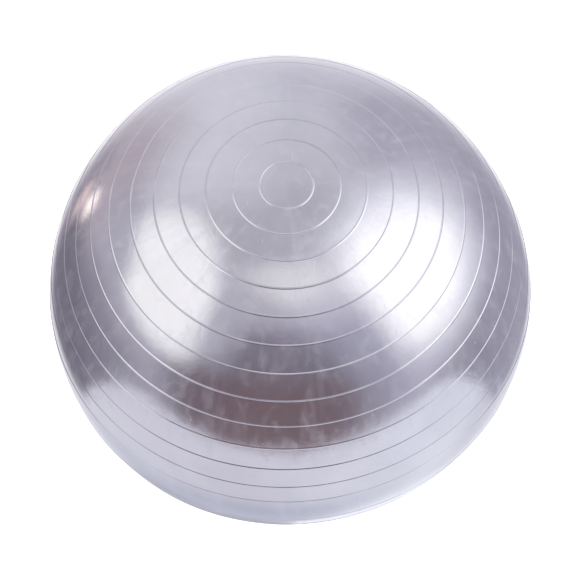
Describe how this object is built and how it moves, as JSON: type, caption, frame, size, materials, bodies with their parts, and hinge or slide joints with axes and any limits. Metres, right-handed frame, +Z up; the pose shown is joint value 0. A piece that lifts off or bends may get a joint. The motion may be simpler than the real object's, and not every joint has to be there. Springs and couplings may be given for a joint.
{
  "type": "exercise ball",
  "caption": "Inflatable ribbed exercise ball standing on its flattened underside, with a moulded-in valve and a pull-out plug.",
  "frame": {"origin": "middle of the flat patch that the ball stands on", "axes": "+Z up, through both poles and the middle of every rib; +Y out through the valve, which sits in the smooth belt"},
  "size_m": [0.65, 0.65, 0.5975],
  "materials": {
    "skin": "glossy pearl silver-grey vinyl",
    "valve_insert": "satin grey soft vinyl",
    "valve_plug": "satin white polyethylene"
  },
  "bodies": {
    "ball": {"ball_skin": "skin", "valve_insert": "valve_insert"},
    "plug": {"valve_plug": "valve_plug"}
  },
  "joints": [
    {"name": "plug_pull", "type": "slide", "parent": "ball", "child": "plug", "axis": [0, 1, 0], "range_m": [0, 0.035]}
  ]
}
